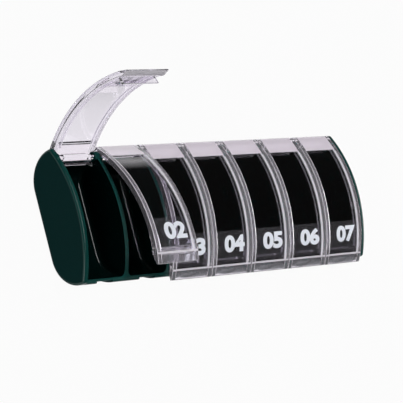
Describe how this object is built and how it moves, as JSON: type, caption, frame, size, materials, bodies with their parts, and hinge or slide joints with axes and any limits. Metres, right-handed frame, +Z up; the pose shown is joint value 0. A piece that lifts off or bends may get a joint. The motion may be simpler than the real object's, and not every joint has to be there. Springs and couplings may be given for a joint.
{
  "type": "weekly pill organizer",
  "caption": "Weekly pill organizer: a moulded tray with a row of compartments, each closed by a clear lid hinged along the rear edge.",
  "frame": {"origin": "centre of the flat underside of the tray", "axes": "+X along the row of compartments from the first lid to the last, -Y the side where the lids lift, +Y the hinge side, +Z up from the flat underside"},
  "size_m": [0.1794, 0.0783, 0.0667],
  "materials": {
    "green_plastic": "smooth moulded, very dark green, soft gloss",
    "clear_plastic": "polished clear moulding",
    "printed_film": "clear film with white print"
  },
  "bodies": {
    "tray_body": {"tray": "green_plastic"},
    "lid_1_body": {"lid_1": "clear_plastic", "label_film_1": "printed_film"},
    "lid_2_body": {"lid_2": "clear_plastic", "label_film_2": "printed_film"},
    "lid_3_body": {"lid_3": "clear_plastic", "label_film_3": "printed_film"},
    "lid_4_body": {"lid_4": "clear_plastic", "label_film_4": "printed_film"},
    "lid_5_body": {"lid_5": "clear_plastic", "label_film_5": "printed_film"},
    "lid_6_body": {"lid_6": "clear_plastic", "label_film_6": "printed_film"},
    "lid_7_body": {"lid_7": "clear_plastic", "label_film_7": "printed_film"}
  },
  "joints": [
    {"name": "lid_1_hinge", "type": "hinge", "parent": "tray_body", "child": "lid_1_body", "pos_m": [-0.075, 0.02545, 0.01341], "axis": [-1, 0, 0], "range_deg": [-110.33, 0]},
    {"name": "lid_2_hinge", "type": "hinge", "parent": "tray_body", "child": "lid_2_body", "pos_m": [-0.05, 0.02545, 0.01341], "axis": [-1, 0, 0], "range_deg": [-19.75, 90.58]},
    {"name": "lid_3_hinge", "type": "hinge", "parent": "tray_body", "child": "lid_3_body", "pos_m": [-0.025, 0.02545, 0.01341], "axis": [-1, 0, 0], "range_deg": [0, 110.33]},
    {"name": "lid_4_hinge", "type": "hinge", "parent": "tray_body", "child": "lid_4_body", "pos_m": [0, 0.02545, 0.01341], "axis": [-1, 0, 0], "range_deg": [0, 110.33]},
    {"name": "lid_5_hinge", "type": "hinge", "parent": "tray_body", "child": "lid_5_body", "pos_m": [0.025, 0.02545, 0.01341], "axis": [-1, 0, 0], "range_deg": [0, 110.33]},
    {"name": "lid_6_hinge", "type": "hinge", "parent": "tray_body", "child": "lid_6_body", "pos_m": [0.05, 0.02545, 0.01341], "axis": [-1, 0, 0], "range_deg": [0, 110.33]},
    {"name": "lid_7_hinge", "type": "hinge", "parent": "tray_body", "child": "lid_7_body", "pos_m": [0.075, 0.02545, 0.01341], "axis": [-1, 0, 0], "range_deg": [0, 110.33]}
  ]
}
